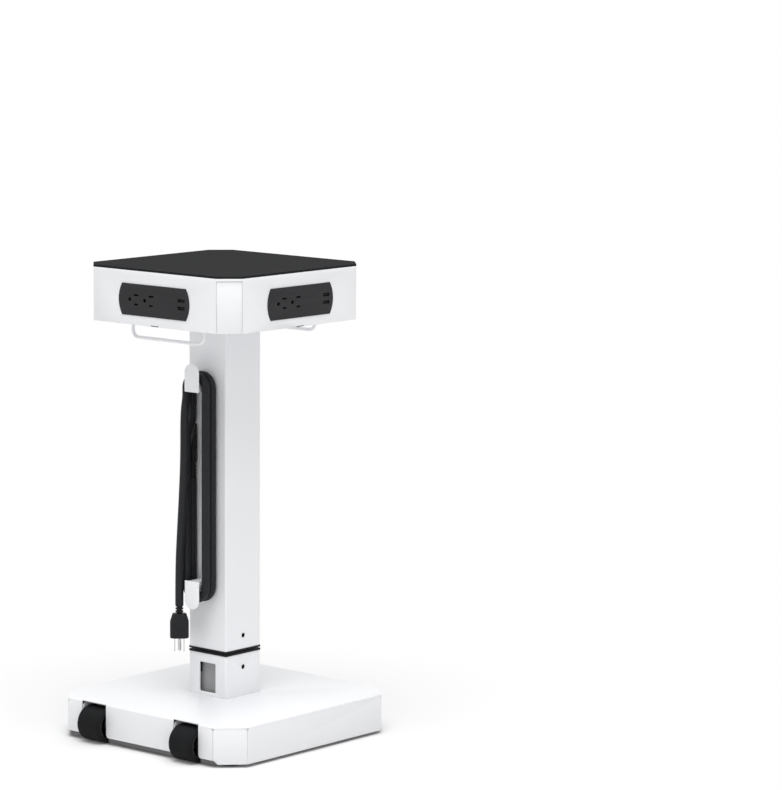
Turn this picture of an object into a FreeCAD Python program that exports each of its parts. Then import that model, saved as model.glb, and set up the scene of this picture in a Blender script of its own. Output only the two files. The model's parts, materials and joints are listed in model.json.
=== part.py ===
import FreeCAD, Part
import math
import os

# Height-adjustable charging tower. Millimetres, +Z up, floor at Z = 0.
# -Y is the side with the wheels and the power cord. Pieces are laid out about the column's axis,
# and save() moves them so that the origin is the middle of the footprint, wheels included.

os.makedirs("parts", exist_ok=True)
V = FreeCAD.Vector

# Fits
slide_gap = 0.3          # nylon guides against the tube that they run on
seat_gap = 0.1           # a plate or insert set into a frame
screw_gap = 0.1          # screw shank in its hole, on the radius
shaft_gap = 0.05         # wheel on its axle, on the radius

# Base cover, folded from one sheet
base_half = 170.0
base_corner = 33.0       # leg of each cut corner
cover_sheet = 1.5
cover_bend = 2.5         # outer radius where the flaps turn down
cover_top = 56.3
flap_foot = 4.5          # lower edge of the flaps above the floor
wheel_flap_foot = 10.0   # the flap over the wheels is cut higher
flap_step = 3.9          # width of the sloped step beside that flap
seam_width = 0.8
relief_radius = 1.6
column_room = 1.0        # between the inner column and its hole in the cover

# Wheels
wheel_radius = 24.6
wheel_width = 42.5
wheel_inset = 83.0       # each wheel's middle from the cover's nearer side
wheel_reach = 14.0       # how far the tyres stand out of the base
wheel_lift = 0.3         # tyre above the floor while the tower stands on its glides
tyre_round = 5.0
hub_radius = 19.2
hub_boss_radius = 8.0
hub_rim = 1.5
hub_web = 10.0
axle_radius = 4.0
axle_head_radius = 6.5
axle_head = 1.6
well_side = 1.9          # room beside a tyre in the cut-out of the flap
well_round = 5.0
well_back = 3.0

# Wheel brackets
ear_sheet = 1.5
ear_gap = 0.8            # between a hub and each ear
ear_front = 8.6          # ear in front of the axle
ear_low = 8.0
ear_high = 52.0
ear_round = 5.0
ear_room = 1.0           # notch of the ballast plate beside each ear
web_gap = 0.5            # bracket's back wall behind the notch
bracket_tail = 18.0      # length of the foot behind the back wall

# Ballast plate and what stands on it
ballast_thick = 10.0
ballast_gap = 2.0        # between the plate's edge and the flaps
glide_radius = 15.0
glide_height = 4.0
glide_inset = 34.0       # middle of a glide from the cover's sides
glide_taper = 1.0
glide_stud_radius = 4.0
glide_stud = 8.0
post_radius = 7.0
post_inset = 50.0
post_screw = 14.0        # screw's reach into a post
screw_sink = 0.2         # heads below the ballast plate's underside
flange_half = 60.0
flange_thick = 6.0
flange_bolt_place = 46.0
bolt_radius = 4.0
bolt_head = 5.3
bolt_head_radius = 7.0
bolt_end = 1.0           # bolt's end above the ballast plate's underside
small_screw_radius = 2.5
small_head_radius = 4.5
small_head = 2.5

# Columns
outer_half = 35.0
outer_wall = 2.0
outer_corner = 2.5
inner_half = 28.2
inner_wall = 2.5
inner_corner = 6.0
collar_wall = 2.0
collar_top = 115.8
window_half = 15.0
window_low = 61.5
window_high = 103.0
window_round = 1.5
ring_thick = 2.5         # black flange of each guide bushing
ring_proud = 0.7
ring_space = 2.0         # between the two flanges when the tower is down
leg_free = 15.6          # guide legs stand only in the corners, outside this
leg_round = 0.6
collar_leg = 27.8
column_leg = 57.2
travel = 333.0
stop_gap = 1.0
top_guide_length = 46.0
guide_lid = 3.0
guide_hole = 14.0
stop_thick = 3.0         # plate across the outer column, over the top guide
stop_hole = 10.0
collar_screw_z = 96.8
column_screw_z = 141.4
set_hole_radius = 3.5
set_screw_radius = 3.3
set_screw_sink = 1.0
insert_half = 7.0
hex_flat = 4.0           # across the flats of a set screw's socket
hex_deep = 3.0

# Head
head_half = 139.3
head_corner = 24.5
head_sheet = 1.5
head_high = 654.0        # under the top plate
head_tall = 73.7
top_thick = 3.0
top_edge = 0.5
shell_lip = 9.0          # flange turned in at the shell's upper and lower edge
corner_sink = 2.9        # depth of the recess in each cut corner
corner_sheet = 1.5       # panel in that recess
corner_seam = 0.25
corner_rim = 3.5         # full corner left over each recess
notch_wide = 15.0        # small notch in the middle of each lower edge
notch_shift = 0.5
notch_high = 1.2
base_plate = 2.0
plate_half = 55.0
mount_plate = 5.0
mount_bolt_place = 46.0
mount_bolt_radius = 3.0
box_near = 62.0          # junction box on the head's floor
box_long = 38.0
box_half = 30.0
box_high = 26.2
box_wall = 2.0
box_round = 4.0

# Power modules, one on each side
module_rise = 34.3       # middle of a module above the head's lower edge
face_half = 59.4         # straight part of the faceplate's edges
face_bow = 6.4
face_high = 43.2
face_thick = 1.0
face_edge = 0.4
body_half = 59.0
body_high = 38.0
body_deep = 32.0
receptacle_pitch = 28.0
first_ground = -44.8
slot_offset = 11.9
slot_rise = 6.35
upper_slot = 9.0
lower_slot = 7.0
slot_high = 2.4
slot_deep = 14.0
ground_radius = 2.7
ground_deep = 16.0
usb_x = 51.5
usb_rise = 5.1
usb_wide = 13.1
usb_high = 5.1
usb_wall = 0.4
usb_deep = 12.0
usb_sink = 0.3
tongue_wide = 10.6
tongue_thick = 1.8
tongue_front = 1.6       # tongue behind the mouth of its port

# Hanger bars under the head, at the front and the back
bar_radius = 2.3
bar_leg = 66.0
bar_plane = 112.0
bar_drop = 20.8          # below the head's lower edge
bar_bend = 10.0
bar_foot_radius = 4.0
bar_foot = 1.5

# Cord hooks on the column
hook_plate_wide = 25.8
hook_plate = 2.5
hook_plate_high = 39.2
hook_out = 31.0          # middle of the end plate from the column's face
hook_arm_radius = 8.0
hook_arm_high = 13.0
upper_hook_z = 484.2     # lower edge of the upper hook
lower_hook_z = 221.8     # upper edge of the lower hook
hook_screw_reach = 18.0

# Power cord
cord_radius = 5.75
lane_first = 7.0         # inner lane of the hank from the column's face
lane_pitch = 12.0
hank_right = 15.0
hank_left = -21.4
hank_high = 505.5        # top of the cord's centreline
hank_low = 196.0
inner_shift_high = 450.0
inner_shift_low = 410.0
tail_shift_high = 484.0
tail_shift_low = 444.0
tail_x = -13.9
tail_y = -66.0
tail_start = 432.0
entry_low = 385.0        # hood over the cable entry, on the column's face
entry_high = 436.0
entry_nose = 405.0       # upper end of its flat front
entry_half = 6.5
entry_round = 3.0
entry_stem_radius = 4.4  # stem of the sleeve, in the hood
entry_stem = 12.0
entry_sleeve = 24.0      # length of the ribbed sleeve that the cord comes out of
rib_pitch = 4.0
entry_groove = 4.6       # radius between the ribs of the sleeve
plug_x = -24.0
plug_y = -66.0
plug_turn = 43.1
relief_high = 186.0
relief_rib = 5.45
relief_groove = 3.75
plug_high = 174.0
plug_shoulder = 163.0
plug_low = 140.0
plug_wide = 26.0
plug_deep = 20.0
plug_neck = 19.0
blade_long = 18.0
blade_wide = 6.35
blade_thick = 1.5
blade_apart = 12.7
pin_radius = 2.4
pin_long = 20.0
pin_back = 11.9

# Worked out from the sizes above
wheel_spread = base_half - wheel_inset
wheel_y = -(base_half + wheel_reach - wheel_radius)
wheel_z = wheel_radius + wheel_lift
ballast_low = glide_height
glide_place = base_half - glide_inset
post_place = base_half - post_inset
ballast_top = ballast_low + ballast_thick
cover_under = cover_top - cover_sheet
flange_top = ballast_top + flange_thick
well_half = wheel_width / 2 + well_side
ear_inner = wheel_width / 2 + ear_gap
ear_outer = ear_inner + ear_sheet
notch_back = wheel_y + wheel_radius + well_back
web_front = notch_back + web_gap
web_back = web_front + ear_sheet
foot_back = web_back + bracket_tail
collar_inner = outer_half - collar_wall
outer_inner = outer_half - outer_wall
lower_ring_top = collar_top + ring_thick
upper_ring_low = lower_ring_top + ring_space
column_low = upper_ring_low + ring_thick
leg_top = column_low + column_leg
guide_low = leg_top + travel + stop_gap
inner_top = guide_low + top_guide_length
lid_top = inner_top + guide_lid
stop_low = lid_top + slide_gap
head_low = head_high - head_tall
module_z = head_low + module_rise
bar_z = head_low - bar_drop
plate_low = head_low + head_sheet
plate_top = plate_low + base_plate
column_top = plate_top + mount_plate
face_y = -head_half
column_face = -outer_half
cord_out = entry_low - entry_sleeve
lane_a = column_face - lane_first
lane_b = lane_a - lane_pitch
hank_radius = (hank_right - hank_left) / 2
hank_middle = (hank_right + hank_left) / 2
arc_high = hank_high - hank_radius
arc_low = hank_low + hank_radius
footprint_shift = wheel_reach / 2

made = {}


def save(name, shape):
    """Keeps a node's solids, moved into the part's frame, and writes them to their own file."""
    placed = shape.copy()
    placed.translate(V(0, footprint_shift, 0))
    made[name] = placed
    placed.exportStep(f"parts/{name}.step")


def block(x0, x1, y0, y1, z0, z1):
    """A box between three pairs of limits."""
    return Part.makeBox(x1 - x0, y1 - y0, z1 - z0, V(x0, y0, z0))


def rod(radius, start, end):
    """A round bar from one point to another."""
    along = V(*end) - V(*start)
    return Part.makeCylinder(radius, along.Length, V(*start), along)


def prism(points, along):
    """A flat outline carried along a vector."""
    corners = [V(*p) for p in points]
    return Part.Face(Part.makePolygon(corners + corners[:1])).extrude(V(*along))


def square(half, z0, z1, corner=0.0):
    """An upright square bar, with its upright edges rounded."""
    shape = block(-half, half, -half, half, z0, z1)
    if corner > 0:
        edges = [e for e in shape.Edges if abs(e.tangentAt(e.FirstParameter).z) > 0.9]
        shape = shape.makeFillet(corner, edges)
    return shape


def square_tube(half, wall, z0, z1, corner):
    """A square tube whose walls keep their thickness round the corners."""
    bore = square(half - wall, z0 - 1, z1 + 1, max(corner - wall, 0.6))
    return square(half, z0, z1, corner).cut(bore)


def octagon(half, leg, z0, z1):
    """An upright square bar with cut corners."""
    near = half - leg
    points = [
        (near, -half), (half, -near), (half, near), (near, half),
        (-near, half), (-half, near), (-half, -near), (-near, -half),
    ]
    return prism([(x, y, z0) for x, y in points], (0, 0, z1 - z0))


def inset_leg(leg, inset):
    """The leg of a cut corner whose whole outline lies further in."""
    return leg - inset * (2 - math.sqrt(2))


def edges_at(shape, z):
    """The edges that lie wholly at one height."""
    return [e for e in shape.Edges if all(abs(v.Point.z - z) < 1e-4 for v in e.Vertexes)]


def four_sides(shape):
    """One copy of a shape for each side, turned about the column's axis."""
    turned = []
    for quarter in range(4):
        copy = shape.copy()
        copy.rotate(V(0, 0, 0), V(0, 0, 1), 90 * quarter)
        turned.append(copy)
    return turned


def corners(place):
    """The four places at one distance from both middle planes."""
    return [(x, y) for x in (-place, place) for y in (-place, place)]


def hex_bar(flat, start, end):
    """A six-sided bar between two points on the X axis's direction."""
    radius = flat / math.sqrt(3)
    points = []
    for i in range(6):
        a = math.radians(60 * i)
        points.append((start[0], start[1] + radius * math.cos(a), start[2] + radius * math.sin(a)))
    return prism(points, (end[0] - start[0], 0, 0))


def hex_head(radius, x, y, z0, z1):
    """An upright hexagon bolt head."""
    points = []
    for i in range(6):
        a = math.radians(60 * i)
        points.append((x + radius * math.cos(a), y + radius * math.sin(a), z0))
    return prism(points, (0, 0, z1 - z0))


def sweep(edges, radius):
    """A round tube along joined lines and arcs."""
    path = Part.Wire(edges)
    first = edges[0]
    start = first.valueAt(first.FirstParameter)
    along = first.tangentAt(first.FirstParameter)
    profile = Part.Wire(Part.makeCircle(radius, start, along))
    return path.makePipeShell([profile], True, False)


def line(a, b):
    """A straight edge."""
    return Part.LineSegment(V(*a), V(*b)).toShape()


def arc(a, middle, b):
    """An arc through three points."""
    return Part.Arc(V(*a), V(*middle), V(*b)).toShape()


def well_outline(x):
    """The cut-out over one wheel, up through the bend, with the flap's lower corners rounded."""
    y = -base_half - 1
    top = cover_top + 1
    foot = wheel_flap_foot
    low = foot - wheel_flap_foot
    k = well_round * (1 - math.sqrt(0.5))
    left = x - well_half
    right = x + well_half
    bends = [
        line((left, y, top), (left, y, foot + well_round)),
        arc((left, y, foot + well_round), (left - k, y, foot + k), (left - well_round, y, foot)),
        line((left - well_round, y, foot), (left - well_round, y, low)),
        line((left - well_round, y, low), (right + well_round, y, low)),
        line((right + well_round, y, low), (right + well_round, y, foot)),
        arc((right + well_round, y, foot), (right + k, y, foot + k), (right, y, foot + well_round)),
        line((right, y, foot + well_round), (right, y, top)),
        line((right, y, top), (left, y, top)),
    ]
    return Part.Face(Part.Wire(bends)).extrude(V(0, cover_bend + 1, 0))


def make_base_cover():
    """The white cover: eight flaps folded down from one sheet, with open seams at the corners."""
    shell = octagon(base_half, base_corner, flap_foot, cover_top)
    shell = shell.makeFillet(cover_bend, edges_at(shell, cover_top))
    leg = inset_leg(base_corner, cover_sheet)
    hollow = octagon(base_half - cover_sheet, leg, flap_foot - 1, cover_under)
    hollow = hollow.makeFillet(cover_bend - cover_sheet, edges_at(hollow, cover_under))
    shell = shell.cut(hollow)
    step_y = -base_half + cover_sheet + seat_gap
    step = [
        (-base_half - 1, -base_half - 1, 0),
        (-base_half - 1, -base_half - 1, wheel_flap_foot),
        (-base_half - 1, step_y, wheel_flap_foot),
        (-base_half - 1, step_y + flap_step, flap_foot),
        (-base_half - 1, step_y + flap_step, 0),
    ]
    cuts = [prism(step, (2 * base_half + 2, 0, 0))]
    cuts += [well_outline(-wheel_spread), well_outline(wheel_spread)]
    seam_top = cover_top - cover_bend
    near = base_half - base_corner
    for quarter in range(4):
        for x, y, angle in ((near, -base_half, -67.5), (base_half, -near, -22.5)):
            turn = angle + 90 * quarter
            a = math.radians(90 * quarter)
            px = x * math.cos(a) - y * math.sin(a)
            py = x * math.sin(a) + y * math.cos(a)
            deep = 3 * cover_sheet
            slit = block(-deep, deep, -seam_width / 2, seam_width / 2, 0, seam_top)
            hole = rod(relief_radius, (-deep, 0, seam_top - relief_radius), (deep, 0, seam_top - relief_radius))
            seam = slit.fuse(hole)
            seam.rotate(V(0, 0, 0), V(0, 0, 1), turn)
            seam.translate(V(px, py, 0))
            cuts.append(seam)
    cuts.append(square(inner_half + column_room, cover_under - 1, cover_top + 1, inner_corner))
    save("base_cover", shell.cut(cuts))


def make_ballast():
    """The heavy steel plate that the tower stands on, notched for the wheels."""
    inset = cover_sheet + ballast_gap
    plate = octagon(base_half - inset, inset_leg(base_corner, inset), ballast_low, ballast_top)
    cuts = []
    for x in (-wheel_spread, wheel_spread):
        side = ear_outer + ear_room
        cuts.append(block(x - side, x + side, -base_half, notch_back, 0, ballast_top + 1))
        for hole_x, hole_y in bracket_holes(x):
            cuts.append(rod(small_screw_radius + screw_gap, (hole_x, hole_y, 0), (hole_x, hole_y, ballast_top + 1)))
    for x, y in corners(glide_place):
        cuts.append(rod(glide_stud_radius + screw_gap, (x, y, 0), (x, y, ballast_top + 1)))
    for x, y in corners(flange_bolt_place):
        cuts.append(rod(bolt_radius + screw_gap, (x, y, 0), (x, y, ballast_top + 1)))
    for x, y in corners(post_place):
        cuts.append(rod(small_screw_radius + screw_gap, (x, y, 0), (x, y, ballast_top + 1)))
        cuts.append(rod(small_head_radius + screw_gap, (x, y, 0), (x, y, ballast_low + small_head)))
    save("ballast_plate", plate.cut(cuts))


def make_glides():
    """Four rubber glides with their studs pushed up into the ballast plate."""
    glides = []
    for x, y in corners(glide_place):
        foot = Part.makeCone(glide_radius - glide_taper, glide_radius, glide_height, V(x, y, 0))
        stud = rod(glide_stud_radius, (x, y, glide_height), (x, y, glide_height + glide_stud))
        glides.append(foot.fuse(stud).removeSplitter())
    save("glides", Part.makeCompound(glides))


def make_cover_posts():
    """Posts under the cover, each held by a screw from below."""
    posts = []
    screws = []
    shank_top = ballast_top + post_screw
    for x, y in corners(post_place):
        post = rod(post_radius, (x, y, ballast_top), (x, y, cover_under))
        post = post.cut(rod(small_screw_radius + screw_gap, (x, y, ballast_top), (x, y, shank_top + 1)))
        posts.append(post)
        head = rod(small_head_radius, (x, y, ballast_low + screw_sink), (x, y, ballast_low + small_head))
        shank = rod(small_screw_radius, (x, y, ballast_low + small_head), (x, y, shank_top))
        screws.append(head.fuse(shank).removeSplitter())
    save("cover_posts", Part.makeCompound(posts))
    save("cover_screws", Part.makeCompound(screws))


def bracket_holes(x):
    """The two screw places in the foot of a wheel bracket."""
    foot_y = (web_back + foot_back) / 2
    return [(x - wheel_width / 4, foot_y), (x + wheel_width / 4, foot_y)]


def make_wheel_side(side, x):
    """One wheel with its bent sheet bracket and its axle. Returns the bracket's screws."""
    front = wheel_y - ear_front
    foot_top = ballast_top + ear_sheet
    outline = [
        (front, ear_low), (notch_back - web_gap, ear_low), (notch_back - web_gap, ballast_top),
        (foot_back, ballast_top), (foot_back, foot_top), (web_back, foot_top),
        (web_back, ear_high), (front, ear_high),
    ]
    body = prism([(x - ear_outer, y, z) for y, z in outline], (2 * ear_outer, 0, 0))
    rounded = []
    for e in body.Edges:
        if abs(e.tangentAt(e.FirstParameter).x) > 0.9 and abs(e.CenterOfMass.y - front) < 0.01:
            rounded.append(e)
    body = body.makeFillet(ear_round, rounded)
    cuts = [
        block(x - ear_inner, x + ear_inner, front - 1, web_front, 0, ear_high + 1),
        rod(axle_radius + shaft_gap, (x - ear_outer - 1, wheel_y, wheel_z), (x + ear_outer + 1, wheel_y, wheel_z)),
    ]
    screws = []
    for hole_x, hole_y in bracket_holes(x):
        cuts.append(rod(small_screw_radius + screw_gap, (hole_x, hole_y, 0), (hole_x, hole_y, foot_top + 1)))
        head = rod(small_head_radius, (hole_x, hole_y, foot_top), (hole_x, hole_y, foot_top + small_head))
        shank = rod(small_screw_radius, (hole_x, hole_y, ballast_low + bolt_end), (hole_x, hole_y, foot_top))
        screws.append(head.fuse(shank).removeSplitter())
    save(f"wheel_bracket_{side}", body.cut(cuts).removeSplitter())

    end = ear_outer + shaft_gap + axle_head
    axle = rod(axle_radius, (x - end, wheel_y, wheel_z), (x + end, wheel_y, wheel_z))
    for sign in (-1, 1):
        inner_end = x + sign * (ear_outer + shaft_gap)
        axle = axle.fuse(rod(axle_head_radius, (inner_end, wheel_y, wheel_z), (x + sign * end, wheel_y, wheel_z)))
    save(f"axle_{side}", axle.removeSplitter())

    half = wheel_width / 2
    tyre = rod(wheel_radius, (x - half, wheel_y, wheel_z), (x + half, wheel_y, wheel_z))
    tyre = tyre.makeFillet(tyre_round, [e for e in tyre.Edges if len(e.Vertexes) == 1])
    tyre = tyre.cut(rod(hub_radius, (x - half - 1, wheel_y, wheel_z), (x + half + 1, wheel_y, wheel_z)))
    save(f"tyre_{side}", tyre)

    hub = rod(hub_radius, (x - half, wheel_y, wheel_z), (x + half, wheel_y, wheel_z))
    for sign in (-1, 1):
        web_face = x + sign * hub_web / 2
        dish = rod(hub_radius - hub_rim, (web_face, wheel_y, wheel_z), (x + sign * (half + 1), wheel_y, wheel_z))
        hub = hub.cut(dish)
    hub = hub.fuse(rod(hub_boss_radius, (x - half, wheel_y, wheel_z), (x + half, wheel_y, wheel_z)))
    hub = hub.cut(rod(axle_radius + shaft_gap, (x - half - 1, wheel_y, wheel_z), (x + half + 1, wheel_y, wheel_z)))
    save(f"hub_{side}", hub.removeSplitter())
    return screws


def make_inner_column():
    """The fixed inner column, welded to a flange that is bolted to the ballast plate."""
    save("inner_column", square_tube(inner_half, inner_wall, flange_top, inner_top, inner_corner))
    flange = block(-flange_half, flange_half, -flange_half, flange_half, ballast_top, flange_top)
    bolts = []
    holes = []
    for x, y in corners(flange_bolt_place):
        holes.append(rod(bolt_radius + screw_gap, (x, y, 0), (x, y, flange_top + 1)))
        head = hex_head(bolt_head_radius, x, y, flange_top, flange_top + bolt_head)
        bolts.append(head.fuse(rod(bolt_radius, (x, y, ballast_low + bolt_end), (x, y, flange_top))).removeSplitter())
    save("column_flange", flange.cut(holes))
    save("flange_bolts", Part.makeCompound(bolts))


def set_screw(z, wall, tip, name):
    """A set screw in the +X wall of a tube, with the tapped insert that it turns in."""
    seat = outer_half - wall
    hole = rod(set_screw_radius + shaft_gap, (0, 0, z), (outer_half, 0, z))
    insert = block(tip, seat, -insert_half, insert_half, z - insert_half, z + insert_half)
    save(f"{name}_insert", insert.cut(hole))
    screw = rod(set_screw_radius, (tip, 0, z), (outer_half - set_screw_sink, 0, z))
    socket = hex_bar(hex_flat, (outer_half - set_screw_sink - hex_deep, 0, z), (outer_half, 0, z))
    save(f"{name}_set_screw", screw.cut(socket))


def set_hole(z):
    """The hole over a set screw."""
    return rod(set_hole_radius, (0, 0, z), (outer_half + 1, 0, z))


def make_collar():
    """The short outer tube that stands on the cover, with its window and its guide bushing."""
    tube = square_tube(outer_half, collar_wall, cover_top, collar_top, outer_corner)
    window = block(-window_half, window_half, -outer_half - 1, -collar_inner + 1, window_low, window_high)
    window = window.makeFillet(
        window_round, [e for e in window.Edges if abs(e.tangentAt(e.FirstParameter).y) > 0.9]
    )
    save("collar", tube.cut([window, set_hole(collar_screw_z)]))
    ring = guide_ring(collar_top, lower_ring_top)
    legs = guide_legs(collar_inner - seat_gap, inner_half + slide_gap, collar_top - collar_leg, collar_top)
    save("collar_bushing", ring.fuse(legs).removeSplitter())
    set_screw(collar_screw_z, collar_wall, inner_half + seat_gap, "collar")


def guide_ring(z0, z1):
    """The black flange of a bushing, a little proud of the tube."""
    ring = square(outer_half + ring_proud, z0, z1, outer_corner)
    return ring.cut(square(inner_half + slide_gap, z0 - 1, z1 + 1, inner_corner))


def guide_legs(outside, inside, z0, z1):
    """Corner legs that fill the space between two square tubes."""
    legs = square(outside, z0, z1, leg_round)
    far = outside + 1
    cuts = [
        square(inside, z0 - 1, z1 + 1, inner_corner),
        block(-leg_free, leg_free, -far, far, z0 - 1, z1 + 1),
        block(-far, far, -leg_free, leg_free, z0 - 1, z1 + 1),
    ]
    return legs.cut(cuts)


def make_outer_column():
    """The sliding outer column with the bushing in its lower end."""
    tube = square_tube(outer_half, outer_wall, column_low, column_top, outer_corner)
    holes = [set_hole(column_screw_z)]
    for z in hook_screw_heights():
        holes.append(rod(small_screw_radius + screw_gap, (0, column_face - 1, z), (0, -outer_inner + 1, z)))
    save("outer_column", tube.cut(holes))
    ring = guide_ring(upper_ring_low, column_low)
    legs = guide_legs(outer_inner - seat_gap, inner_half + slide_gap, column_low, leg_top)
    save("column_bushing", ring.fuse(legs).removeSplitter())
    set_screw(column_screw_z, outer_wall, inner_half + slide_gap, "column")


def make_top_guide():
    """The nylon guide on the inner column's upper end, and the stop plate that comes down on its lid."""
    guide = square(outer_inner - slide_gap, guide_low, lid_top, leg_round)
    far = outer_half
    cuts = [
        square(inner_half + shaft_gap, guide_low - 1, inner_top, inner_corner),
        rod(guide_hole, (0, 0, guide_low), (0, 0, lid_top + 1)),
    ]
    for side in four_sides(block(-leg_free, leg_free, -far, -inner_half, guide_low - 1, lid_top + 1)):
        cuts.append(side)
    save("top_guide", guide.cut(cuts))
    plate = square(outer_inner - seat_gap, stop_low, stop_low + stop_thick, leg_round)
    save("stop_plate", plate.cut(rod(stop_hole, (0, 0, stop_low - 1), (0, 0, stop_low + stop_thick + 1))))


def face_outline(grow, y):
    """The faceplate's outline: straight above and below, with bowed ends."""
    half = face_half
    high = face_high / 2 + grow
    bow = face_half + face_bow + grow
    edges = [
        line((-half, y, -high), (half, y, -high)),
        arc((half, y, -high), (bow, y, 0), (half, y, high)),
        line((half, y, high), (-half, y, high)),
        arc((-half, y, high), (-bow, y, 0), (-half, y, -high)),
    ]
    return Part.Face(Part.Wire(edges))


def outlet_cuts(front, slot_depth, ground_depth):
    """The blade slots and ground holes of both receptacles."""
    cuts = []
    for i in range(2):
        ground_x = first_ground + i * receptacle_pitch
        slot_x = ground_x + slot_offset
        cuts.append(rod(ground_radius, (ground_x, front, 0), (ground_x, front + ground_depth, 0)))
        for z, long in ((slot_rise, upper_slot), (-slot_rise, lower_slot)):
            cuts.append(block(
                slot_x - long / 2, slot_x + long / 2, front, front + slot_depth,
                z - slot_high / 2, z + slot_high / 2,
            ))
    return cuts


def usb_box(grow, y0, y1, z):
    """A box on the middle of one port."""
    wide = usb_wide / 2 + grow
    high = usb_high / 2 + grow
    return block(usb_x - wide, usb_x + wide, y0, y1, z - high, z + high)


def make_modules():
    """Four power modules: a dark faceplate, the body behind it and two ports in metal shells."""
    front = face_y - face_thick
    plate = face_outline(0, front).extrude(V(0, face_thick, 0))
    rim = [e for e in plate.Edges if all(abs(v.Point.y - front) < 1e-4 for v in e.Vertexes)]
    plate = plate.makeFillet(face_edge, rim)
    cuts = outlet_cuts(front - 1, face_thick + 2, face_thick + 2)
    cuts += [usb_box(0, front - 1, face_y + 1, z) for z in (-usb_rise, usb_rise)]
    plate = plate.cut(cuts)

    body = block(-body_half, body_half, face_y, face_y + body_deep, -body_high / 2, body_high / 2)
    cuts = outlet_cuts(face_y - 1, slot_deep + 1, ground_deep + 1)
    cuts += [usb_box(0, face_y - 1, face_y + usb_deep, z) for z in (-usb_rise, usb_rise)]
    body = body.cut(cuts)

    shells = []
    tongues = []
    for z in (-usb_rise, usb_rise):
        outside = usb_box(-seat_gap, front + usb_sink, face_y + usb_deep, z)
        shells.append(outside.cut(usb_box(-seat_gap - usb_wall, front - 1, face_y + usb_deep - usb_wall, z)))
        wide = tongue_wide / 2
        low = z - tongue_thick / 2
        tongues.append(block(
            usb_x - wide, usb_x + wide, front + tongue_front, face_y + usb_deep - usb_wall, low, low + tongue_thick,
        ))
    for shape in [plate, body] + shells + tongues:
        shape.translate(V(0, 0, module_z))
    for side, solid in zip(("front", "right", "back", "left"), four_sides(plate)):
        save(f"faceplate_{side}", solid)
    for side, solid in zip(("front", "right", "back", "left"), four_sides(body)):
        save(f"outlet_body_{side}", solid)
    all_shells = []
    all_tongues = []
    for solid in shells:
        all_shells += four_sides(solid)
    for solid in tongues:
        all_tongues += four_sides(solid)
    save("usb_shells", Part.makeCompound(all_shells))
    save("usb_tongues", Part.makeCompound(all_tongues))


def corner_flat(half, leg):
    """How far the flat of a cut corner lies from the column's axis."""
    return (2 * half - leg) / math.sqrt(2)


def corner_block(width, inner, outer, z0, z1):
    """A box across a cut corner, between two distances from the column's axis."""
    shape = block(inner, outer, -width / 2, width / 2, z0, z1)
    shape.rotate(V(0, 0, 0), V(0, 0, 1), -45)
    return shape


def make_head():
    """The head's white shell with a panel sunk in each cut corner, its floor and the dark top plate."""
    flat = corner_flat(head_half, head_corner)
    sunk = flat - corner_sink
    inner_half_width = head_half - head_sheet
    inner_leg = 2 * inner_half_width - math.sqrt(2) * (sunk - head_sheet)
    recess_top = head_high - corner_rim
    corner_wide = head_corner * math.sqrt(2)
    shell = octagon(head_half, head_corner, head_low, head_high)
    shell = shell.cut(octagon(inner_half_width, inner_leg, head_low + head_sheet, head_high - head_sheet))
    mouth = inner_half_width - shell_lip
    shell = shell.cut(octagon(mouth, inset_leg(inner_leg, shell_lip), head_low - 1, head_high + 1))
    opening = block(
        -body_half - seat_gap, body_half + seat_gap, face_y - 1, face_y + head_sheet + 1,
        module_z - body_high / 2 - seat_gap, module_z + body_high / 2 + seat_gap,
    )
    notch = block(
        notch_shift - notch_wide / 2, notch_shift + notch_wide / 2, face_y - 1, face_y + head_sheet,
        head_low - 1, head_low + notch_high,
    )
    recess = corner_block(corner_wide, sunk, flat + 1, head_low - 1, recess_top)
    save("head_shell", shell.cut(four_sides(opening) + four_sides(notch) + four_sides(recess)))
    panel = corner_block(
        corner_wide - 2 * corner_seam, sunk, sunk + corner_sheet, head_low, recess_top - corner_seam,
    )
    save("corner_panels", Part.makeCompound(four_sides(panel)))
    top = octagon(head_half, head_corner, head_high, head_high + top_thick)
    top = top.makeFillet(top_edge, edges_at(top, head_high + top_thick))
    save("top_plate", top)
    make_head_floor(inner_half_width - seat_gap, inset_leg(inner_leg, seat_gap))


def make_head_floor(half, leg):
    """The floor of the head, the plate that joins it to the column, and the junction box on it."""
    floor = octagon(half, leg, plate_low, plate_top)
    holes = [square(outer_half + seat_gap, plate_low - 1, plate_top + 1, outer_corner)]
    bolt_holes = []
    bolts = []
    for x, y in corners(mount_bolt_place):
        bolt_holes.append(rod(mount_bolt_radius + screw_gap, (x, y, plate_low - 1), (x, y, column_top + 1)))
        head = hex_head(2 * mount_bolt_radius, x, y, column_top, column_top + mount_bolt_radius)
        bolts.append(head.fuse(rod(mount_bolt_radius, (x, y, plate_low), (x, y, column_top))).removeSplitter())
    save("head_floor", floor.cut(holes + bolt_holes))
    plate = square(plate_half, plate_top, column_top)
    hole = square(outer_half + shaft_gap, plate_top - 1, column_top + 1, outer_corner)
    save("mount_plate", plate.cut([hole] + bolt_holes))
    save("mount_bolts", Part.makeCompound(bolts))
    far = box_near + box_long
    box = block(box_near, far, -box_half, box_half, plate_top, plate_top + box_high)
    upright = [e for e in box.Edges if abs(e.tangentAt(e.FirstParameter).z) > 0.9]
    box = box.makeFillet(box_round, upright)
    lid = box.copy()
    room = block(
        box_near + box_wall, far - box_wall, -box_half + box_wall, box_half - box_wall,
        plate_top + box_wall, plate_top + box_high + 1,
    )
    save("junction_box", box.cut(room))
    lid = lid.common(block(0, far + 1, -box_half, box_half, plate_top, plate_top + box_wall))
    lid.translate(V(0, 0, box_high))
    save("junction_box_lid", lid)


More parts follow.
